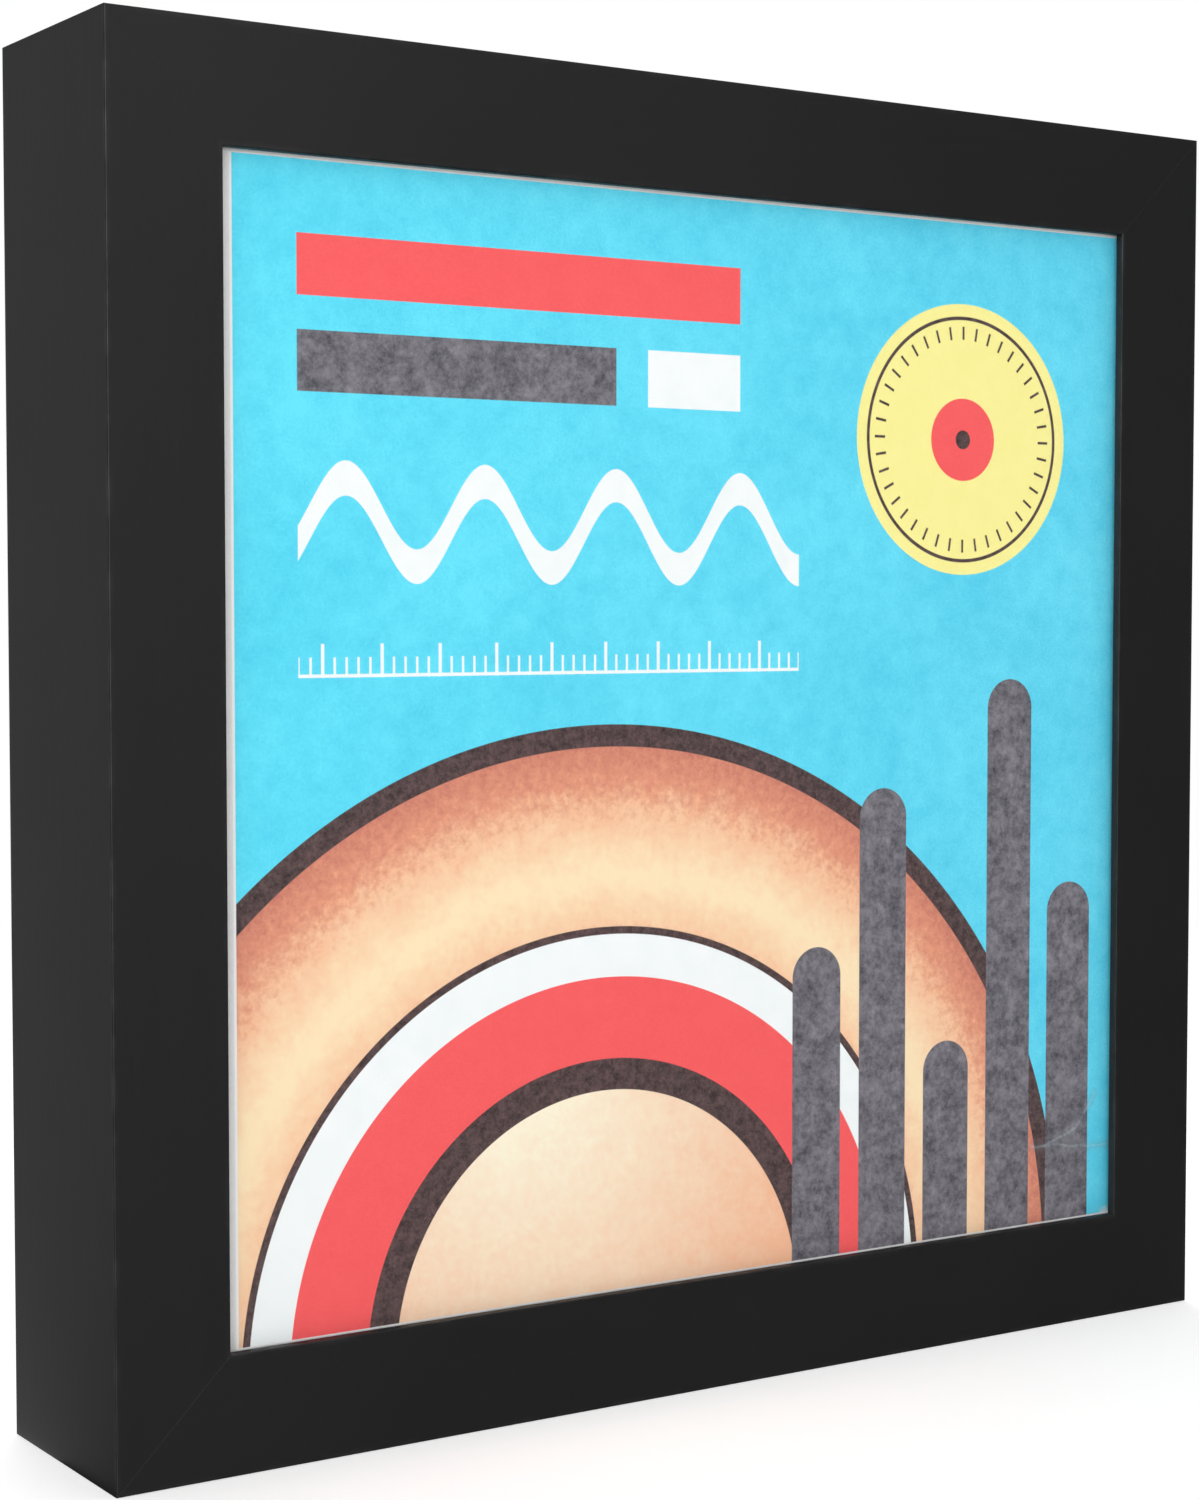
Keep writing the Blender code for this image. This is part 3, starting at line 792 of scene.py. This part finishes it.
ruddy = contrast(airbrush + 0.5 * speckle + 0.3 * blotches - 0.3, 1.4)
peach = toned((0.985, 0.900, 0.690), (0.930, 0.500, 0.310), ruddy)
brown = toned((0.016, 0.009, 0.010), (0.150, 0.090, 0.090), contrast(0.7 * speckle + 0.3 * grain, 3.2))
charcoal = toned((0.040, 0.040, 0.052), (0.270, 0.250, 0.285), contrast(0.6 * speckle + 0.4 * blotches, 3.4))
coral = toned((0.900, 0.090, 0.095), (0.990, 0.125, 0.130), contrast(0.6 * grain + 0.4 * blotches, 2.0))
yellow = toned((0.930, 0.840, 0.285), (0.990, 0.920, 0.350), contrast(0.6 * grain + 0.4 * blotches, 2.0))
white_ink = toned((0.870, 0.920, 0.925), (0.950, 0.970, 0.970), contrast(blotches, 2.0))
card_fibres = card.noise(0.0016, detail=5.0, roughness=0.7)
# grey copy of the card: painted shade on the bare edge at the left
painted_shade_card = toned((0.765, 0.762, 0.757), (0.865, 0.862, 0.857), card_fibres)
white_card = toned((0.900, 0.900, 0.895), (0.955, 0.955, 0.950), card_fibres)

# %% Print, one shape over another
DIAL_AT = (53.0, 51.0)
DIAL_TICKS = 40
LEVEL_BARS = {22.0: -34.0, 36.0: -8.0, 50.0: -52.0, 64.0: 10.0, 78.0: -26.0}
BAR_WIDTH = 10.0
WAVE_LENGTH = 24.0
WAVE_HEIGHT = 6.5
WAVE_LEVEL = 35.0
WAVE_WIDTH = 5.2
SCALE = (-74.0, 18.0, 12.0)
SCALE_PITCH = 2.0
PAST_EDGE = 100.0

dial_distance = from_point(*DIAL_AT)
dial_angle = (up - DIAL_AT[1]).math("ARCTAN2", across - DIAL_AT[0])
dial_ticks = inside(0.22 - repeated(dial_angle, math.tau / DIAL_TICKS) * dial_distance)
scale_left, scale_right, scale_level = SCALE
fine_ticks = inside(0.2 - repeated(across, SCALE_PITCH))
long_ticks = inside(0.28 - repeated(across, 5 * SCALE_PITCH))
wave = WAVE_HEIGHT * (across * (math.tau / WAVE_LENGTH)).math("SINE") + WAVE_LEVEL
wave_band = inside(WAVE_WIDTH / 2 - abs(up - wave)).and_at_most(bar(scale_left, scale_right, 0.0, PAST_EDGE))
half_rings = (
    (96.0, brown),
    (WIDE_RING[1], tan),
    (WIDE_RING[0], brown),
    (62.8, white_ink),
    (56.0, coral),
    (43.0, brown),
    (MIDDLE_RADIUS, peach),
)
layers = [(disc(*RINGS_AT, radius), colour) for radius, colour in half_rings]
layers += [(rounded_bar(x, BAR_WIDTH, -PAST_EDGE, high), charcoal) for x, high in LEVEL_BARS.items()]
layers += [
    (disc(*DIAL_AT, 23.0), yellow),
    (ring(*DIAL_AT, 20.3, 20.9), brown),
    (ring(*DIAL_AT, 17.0, 19.2).and_at_most(dial_ticks), brown),
    (disc(*DIAL_AT, 7.0), coral),
    (disc(*DIAL_AT, 1.6), brown),
    (bar(-74.0, 6.0, 68.0, 77.0), coral),
    (bar(-74.0, -18.0, 54.0, 63.0), charcoal),
    (bar(-12.0, 6.0, 54.0, 63.0), white_ink),
    (bar(scale_left, scale_right, scale_level, scale_level + 0.5), white_ink),
    (bar(scale_left, scale_right, scale_level, scale_level + 3.0).and_at_most(fine_ticks), white_ink),
    (bar(scale_left, scale_right, scale_level, scale_level + 5.0).and_at_most(long_ticks), white_ink),
    (wave_band, white_ink),
]
ink = cyan
for mask, colour in layers:
    ink = card.mixed(mask, ink, colour)
print("shapes in the print:", len(layers))

# %% [markdown]
# The sleeve has been handled. Its lower right corner was bent once, and the fold left creases: a pale line
# where the ink has cracked, with a painted grey shade along it. The same band along it raises a faint ridge.
# A crease follows straight lines between points, and noise shifts the print's coordinates a little before the
# distance is taken, so that it wanders. At the corner itself, the ink is scuffed down to the card.

# %% Creases
CREASES = (((70.0, -72.3), (88.0, -74.2)), ((72.8, -72.7), (80.5, -70.0)), ((80.5, -70.0), (84.5, -64.5)))
CREASE_WANDER = 2.4
CREASE_WIDTH = 0.4
PAINTED_SHADE_WIDTH = 1.4
CREASE_RIDGE = 4.0
SCUFF_AT = (87.4, -86.4)
SCUFF_RAGGED = 2.4
SCUFF_FADE = (0.3, 1.8)

wander = CREASE_WANDER * (card.noise(0.005, detail=3.0) - 0.5)


def from_line(start, end):
    """Distance from a line that wanders a little between two points."""
    run, rise = end[0] - start[0], end[1] - start[1]
    side, over = across + wander - start[0], up + wander - start[1]
    share = ((side * run + over * rise) / (run * run + rise * rise)).clamped()
    side, over = side - share * run, over - share * rise
    return (side * side + over * over).math("SQRT")


from_crease = from_line(*CREASES[0])
for line in CREASES[1:]:
    from_crease = from_crease.and_at_most(from_line(*line))
# band along each crease: painted grey shade in the colour, and a ridge in the relief
crease_ridge_and_painted_shade = 1.0 - card.steps(from_crease, 0.0, PAINTED_SHADE_WIDTH)
crease = (1.0 - card.steps(from_crease, 0.0, CREASE_WIDTH)) * (0.4 + 0.6 * card.steps(speckle, 0.40, 0.62))
# painted grey shade along the creases, laid over the ink
worn_ink_and_painted_shade = card.mixed(0.20 * crease_ridge_and_painted_shade, ink, (0.15, 0.20, 0.23))
worn_ink_and_painted_shade = card.mixed(0.24 * crease, worn_ink_and_painted_shade, (0.66, 0.72, 0.74))
scuff = 1.0 - card.steps(from_point(*SCUFF_AT) + SCUFF_RAGGED * (speckle - 0.5), *SCUFF_FADE)
worn_ink_and_painted_shade = card.mixed(0.75 * scuff, worn_ink_and_painted_shade, (0.80, 0.80, 0.79))
print("lines in the creases:", len(CREASES))

# %% [markdown]
# The sheet was printed with a narrow bare edge at the left, the top and the bottom, which shows as a pale
# line inside the moulding. The bare card is white. At the left it is painted a little grey, as painted shade,
# but for a hair's breadth beside the ink, which stays white as a painted highlight. Only the front is
# printed, so the ink is kept to the front skin of the card.

# %% Bare edge and card
INK_DEPTH = 0.0002
PAINTED_HIGHLIGHT_WIDTH = 0.4

printed = inside((across - PRINT_LEFT).and_at_most(PRINT_TOP - up).and_at_most(up - PRINT_BOTTOM))
on_front = card.steps(world_y, sleeve_low.y + INK_DEPTH, sleeve_low.y + INK_DEPTH / 2)
inked = printed.and_at_most(on_front)
# white card everywhere but the left bare edge, which keeps a white hair beside the ink as a painted highlight
white_and_painted_highlight = inside(up - PRINT_TOP).or_at_least(inside(across - PRINT_LEFT + PAINTED_HIGHLIGHT_WIDTH))
wear(
    card.show(
        Base_Color=card.mixed(inked, card.mixed(white_and_painted_highlight, painted_shade_card, white_card), worn_ink_and_painted_shade),
        Roughness=0.70 - 0.14 * inked,
        Specular_IOR_Level=0.2,
        Normal=card.bump(card.noise(0.0009, detail=4.0) + CREASE_RIDGE * crease_ridge_and_painted_shade * on_front, 0.00001),
    ),
    sleeve,
)
settle(sleeve, "frame", "printed_card", "record_sleeve")

# %% [markdown]
# ## Inside the frame
# Behind the sleeve come a grey backing card and a ring of black spacer strips. Nobody sees them until the
# frame is opened. Their solids are plain cut sheets and strips, as the real ones are, so they stay, and get
# their own finish: pressed grey pulp with darker fibres, and fibreboard wrapped in a matt black foil, whose
# printed grain is pressed in as fine pores.

# %% Grey board
board = Finish("pressed_pulp")
fibres = board.noise(0.0006, stretch=(1.0, 1.0, 5.0), detail=5.0, roughness=0.7)
flecks = board.steps(board.noise(0.0009, stretch=(4.0, 1.0, 1.0), detail=2.0), 0.66, 0.72)
pulp = board.mixed(fibres, (0.36, 0.345, 0.32), (0.52, 0.50, 0.465))
wear(
    board.show(
        Base_Color=board.mixed(0.6 * flecks, pulp, (0.16, 0.14, 0.12)),
        Roughness=0.84 + 0.1 * fibres,
        Normal=board.bump(fibres, 0.00004),
    ),
    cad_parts["backing_card"],
)

# %% Foil on fibreboard
strip = Finish("black_foil")
foil_clouds = strip.noise(0.012, detail=3.0)
pores = strip.steps(strip.noise(0.0005, stretch=(3.0, 1.0, 3.0), detail=3.0, roughness=0.6), 0.56, 0.66)
darkened = contrast(0.6 * foil_clouds + 0.4 * pores, 1.6)
wear(
    strip.show(
        Base_Color=strip.mixed(darkened, (0.026, 0.025, 0.025), (0.014, 0.014, 0.014)),
        Roughness=0.60 + 0.08 * foil_clouds + 0.16 * pores,
        Specular_IOR_Level=0.4,
        Normal=strip.bump(1.0 - pores, 0.00003),
    ),
    *(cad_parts["spacer_" + side] for side in ("top", "bottom", "left", "right")),
)

# %% [markdown]
# ## Back panel
# The panel is 3 mm hardboard, flush with the back of the moulding. Its sawn edges are a little rubbed, which
# shows as a soft line along the dark joint round it. The surface is brown, with a fine fibrous mottle in
# slight relief and small dark specks.

# %% Hardboard panel
PANEL_EDGE = 0.00025

panel = add_block("hardboard_panel", *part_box("back_panel"))
with editing(panel):
    bpy.ops.mesh.bevel(offset=PANEL_EDGE, segments=2, affect="EDGES")
smooth(panel)
hardboard = Finish("brown_hardboard")
strands = hardboard.noise(0.0012, stretch=(3.0, 1.0, 1.0), detail=6.0, roughness=0.7)
clouds = hardboard.noise(0.03, detail=3.0)
specks = hardboard.steps(hardboard.noise(0.0012, detail=3.0, roughness=0.6), 0.66, 0.74)
brown_tone = hardboard.mixed(
    contrast(0.6 * strands + 0.4 * clouds, 2.0), (0.165, 0.088, 0.045), (0.330, 0.200, 0.110)
)
wear(
    hardboard.show(
        Base_Color=hardboard.mixed(0.75 * specks, brown_tone, (0.060, 0.032, 0.018)),
        Roughness=0.62 + 0.2 * strands,
        Specular_IOR_Level=0.35,
        Normal=hardboard.bump(strands, 0.00006),
    ),
    panel,
)
settle(panel, "frame", "hardboard", "back_panel")

# %% [markdown]
# ## Metal finishes
# The turn buttons and their screws are zinc-plated steel: a cool grey, with the faint cloudy spangle and fine
# scratches that tumbling in a drum leaves. The hanger and its nails have a thin brass plating, warmer and
# smoother, and browned a little in places. The corner nails are plain rolled steel, darker and duller. All
# three are one function of their colours and their polish.

# %% Steel, plated and plain
def metal(name, dark, light, polish):
    """Steel between two tones, with cloudy patches and scratches."""
    finish = Finish(name)
    clouds = finish.noise(0.0035, detail=3.0, roughness=0.6)
    scratches = finish.noise(0.0005, stretch=(8.0, 1.0, 2.0), detail=3.0)
    return finish.show(
        Base_Color=finish.mixed(contrast(clouds, 2.0), dark, light),
        Metallic=1.0,
        Roughness=polish + 0.14 * clouds + 0.08 * scratches,
        Normal=finish.bump(0.7 * scratches + 0.3 * clouds, 0.000012),
    )


zinc = metal("zinc_plating", (0.50, 0.51, 0.52), (0.66, 0.66, 0.65), 0.26)
brass = metal("brass_plating", (0.50, 0.33, 0.12), (0.72, 0.53, 0.24), 0.22)
steel = metal("plain_steel", (0.40, 0.40, 0.40), (0.56, 0.56, 0.55), 0.32)
wear(steel, *(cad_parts[node] for node in driven if node.startswith("corner_nail")))

# %% [markdown]
# ## Screws and nails
# A pin is a disc for its head, whose underside is inset to the shank and drawn out to a point. A bevel domes
# the head's upper edge. The screws also get a cross recess, cut by two blocks that narrow with depth.

# %% Pins
DOME_SHARE = 0.8
DOME_STEPS = 6
RECESS_TAPER = 0.55


def add_pin(name, node, seat_y, shank_radius, tip):
    """Pin with a domed head in place of a solid, its head seated at seat_y and its point forward."""
    low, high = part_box(node)
    centre = (low + high) / 2
    head_radius = (high.x - low.x) / 2
    pin = add_disc(name, head_radius, seat_y, high.y, centre.x, centre.z)
    with editing(pin):
        pick("FACE", facing(1, -1))
        bpy.ops.mesh.inset(thickness=head_radius - shank_radius)
        extrude((0.0, low.y + tip - seat_y, 0.0))
        extrude((0.0, -tip, 0.0))
        bpy.ops.mesh.merge(type="CENTER")
        pick("EDGE", lambda edge: edge_ends(edge, lambda co: close(co.y, high.y)))
        bpy.ops.mesh.bevel(offset=(high.y - seat_y) * DOME_SHARE, segments=DOME_STEPS, affect="EDGES")
    return pin


def cut_cross(screw, span, slot, depth):
    """Cut a cross recess into a screw's head, each slot narrower at its floor."""
    corners = [vert.co for vert in screw.data.vertices]
    top_y = max(c.y for c in corners)
    centre_x = (min(c.x for c in corners) + max(c.x for c in corners)) / 2
    centre_z = (min(c.z for c in corners) + max(c.z for c in corners)) / 2
    for half_x, half_z in ((span / 2, slot / 2), (slot / 2, span / 2)):
        low = (centre_x - half_x, top_y - depth, centre_z - half_z)
        high = (centre_x + half_x, top_y + depth, centre_z + half_z)
        cutter = add_block("recess", low, high)
        with editing(cutter):
            pick("FACE", facing(1, -1))
            bpy.ops.transform.resize(value=(RECESS_TAPER, 1.0, RECESS_TAPER))
        cut_out(screw, [cutter])
        bpy.data.objects.remove(cutter)


# %% [markdown]
# ## Turn buttons
# A turn button is a tapered steel plate that swivels on its screw. The plate is stamped out of strip, so its
# upper edge is rolled over and its underside sits close on the wood. A thin round disc gets the tapered
# outline when the half towards the tip is shrunk and moved out. Each one rides on its own body, because each
# swivels alone.

# %% Turn buttons and their screws
BUTTON_HEAD_RADIUS = 0.0045
BUTTON_TIP_RADIUS = 0.0032
BUTTON_REACH = 0.013
BUTTON_LIFT = 0.00006
ROLLED_EDGE = 0.0003
SCREW_SHANK = 0.0013
SCREW_TIP = 0.003
SCREW_HOLE = 0.0016
RECESS_SPAN = 0.0031
RECESS_SLOT = 0.0009
RECESS_DEPTH = 0.0010


def add_turn_button(place, direction):
    """Plate on its screw at one of the four places, with its tip towards the panel."""
    node = "turn_button_" + place
    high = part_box(node)[1]
    screw_low, screw_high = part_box("turn_button_screw_" + place)
    x, z = (screw_low.x + screw_high.x) / 2, (screw_low.z + screw_high.z) / 2
    under_y = back_y + BUTTON_LIFT
    plate = add_disc("swivel_plate_" + place, BUTTON_HEAD_RADIUS, under_y, high.y, x, z, vertices=64)
    with editing(plate):
        pick("VERT", lambda vert: (vert.co.x - x) * direction > CLOSE)
        share = BUTTON_TIP_RADIUS / BUTTON_HEAD_RADIUS
        bpy.ops.transform.resize(value=(share, 1.0, share), center_override=(x, high.y, z))
        bpy.ops.transform.translate(value=(direction * BUTTON_REACH, 0.0, 0.0))
        pick("EDGE", lambda edge: edge_ends(edge, lambda co: close(co.y, high.y)))
        bpy.ops.mesh.bevel(offset=ROLLED_EDGE, segments=3, affect="EDGES")
    hole = add_disc("hole", SCREW_HOLE, under_y - ROLLED_EDGE, high.y + ROLLED_EDGE, x, z)
    cut_out(plate, [hole])
    bpy.data.objects.remove(hole)
    smooth(plate)
    wear(zinc, plate)
    settle(plate, place + "_button", "zinc_plate", node)

    node = "turn_button_screw_" + place
    screw = add_pin("crosshead_screw_" + place, node, high.y + BUTTON_LIFT, SCREW_SHANK, SCREW_TIP)
    cut_cross(screw, RECESS_SPAN, RECESS_SLOT, RECESS_DEPTH)
    smooth(screw)
    wear(zinc, screw)
    settle(screw, "frame", "zinc_plate", node)


for level in ("lower", "upper"):
    for side, direction in (("left", 1), ("right", -1)):
        add_turn_button(f"{level}_{side}", direction)

# %% [markdown]
# ## Hanger
# The hanger is a strip of plated steel with a row of teeth in its lower edge, which catch a nail in the wall.
# Its feet lie on the wood, and its middle stands off, to let a nail's head in behind it. The strip grows from
# one foot by extrusion: up a ramp, along the middle, down again and into the other foot. The middle is then
# sliced at every half tooth, and every other corner of its lower edge is pulled up, which leaves the teeth.

# %% Toothed strip
HANGER_FOOT = 0.009
HANGER_RAMP = 0.0025
HANGER_STEEL = 0.0008
HANGER_LIFT = 0.00004
HANGER_EDGE = 0.00009
HANGER_CORNER = math.radians(60)
TEETH = 9
TOOTH_PITCH = 0.0022
TOOTH_DEPTH = 0.0018

strip_low, strip_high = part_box("sawtooth_hanger")
foot_low_y = back_y + HANGER_LIFT
foot_high_y = strip_low.y + HANGER_STEEL
foot_end = strip_low.x + HANGER_FOOT
rise = strip_high.y - foot_high_y
flat = strip_high.x - strip_low.x - 2 * (HANGER_FOOT + HANGER_RAMP)
foot = (strip_low.x, foot_low_y, strip_low.z), (foot_end, foot_high_y, strip_high.z)
hanger = add_block("toothed_hanger", *foot)
with editing(hanger):
    pick("FACE", facing(0, 1))
    for move in ((HANGER_RAMP, rise), (flat, 0.0), (HANGER_RAMP, -rise), (HANGER_FOOT, 0.0)):
        extrude((move[0], move[1], 0.0))
    first = -TEETH * TOOTH_PITCH / 2
    for half_tooth in range(2 * TEETH + 1):
        slice_at((first + half_tooth * TOOTH_PITCH / 2, 0.0, 0.0), (1.0, 0.0, 0.0))
    notches = [first + (tooth + 0.5) * TOOTH_PITCH for tooth in range(TEETH)]
    pick(
        "VERT",
        lambda vert: close(vert.co.z, strip_low.z) and any(close(vert.co.x, notch) for notch in notches),
    )
    bpy.ops.transform.translate(value=(0.0, 0.0, TOOTH_DEPTH))
    bpy.ops.mesh.select_all(action="SELECT")
    bpy.ops.mesh.dissolve_limited(angle_limit=FLAT_ENOUGH)
    bpy.ops.mesh.select_mode(type="EDGE")
    bpy.ops.mesh.select_all(action="DESELECT")
    bpy.ops.mesh.edges_select_sharp(sharpness=HANGER_CORNER)
    bpy.ops.mesh.bevel(offset=HANGER_EDGE, segments=2, affect="EDGES")
smooth(hanger)
wear(brass, hanger)
settle(hanger, "frame", "hanger_brass", "sawtooth_hanger")

# %% Hanger nails
NAIL_SHANK = 0.0007
NAIL_TIP = 0.002

for side in ("left", "right"):
    nail = add_pin("domed_nail_" + side, "hanger_nail_" + side, foot_high_y, NAIL_SHANK, NAIL_TIP)
    smooth(nail)
    wear(brass, nail)
    settle(nail, "frame", "hanger_brass", "hanger_nail_" + side)

# %% [markdown]
# ## Bumpers
# Two soft pads keep the bottom of the frame as far off the wall as the hanger keeps its top. A pad is a disc
# with a well rounded rim and a faintly dished face, and black rubber is matt with a fine dusty bloom.

# %% Rubber pads
PAD_ROUNDING = 0.0009
PAD_LIFT = 0.00003
PAD_RIM = 0.0016
PAD_DISH = 0.00025

rubber = Finish("matt_rubber")
bloom = rubber.noise(0.0008, detail=5.0, roughness=0.7)
rubber_black = rubber.show(
    Base_Color=rubber.mixed(bloom, (0.012, 0.012, 0.012), (0.034, 0.034, 0.033)),
    Roughness=0.62 + 0.2 * bloom,
    Normal=rubber.bump(bloom, 0.00002),
)
for side in ("left", "right"):
    low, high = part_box("bumper_" + side)
    radius = (high.x - low.x) / 2
    pad = add_disc(
        "rubber_pad_" + side, radius, back_y + PAD_LIFT, high.y, (low.x + high.x) / 2, (low.z + high.z) / 2
    )
    with editing(pad):
        pick("EDGE", lambda edge: edge_ends(edge, lambda co: close(co.y, high.y)))
        bpy.ops.mesh.bevel(offset=PAD_ROUNDING, segments=6, affect="EDGES")
        outer_face = facing(1, 1)
        pick("FACE", lambda face: outer_face(face) and len(face.verts) > 4)
        bpy.ops.mesh.inset(thickness=PAD_RIM, depth=-PAD_DISH)
    smooth(pad)
    wear(rubber_black, pad)
    settle(pad, "frame", "black_rubber", "bumper_" + side)
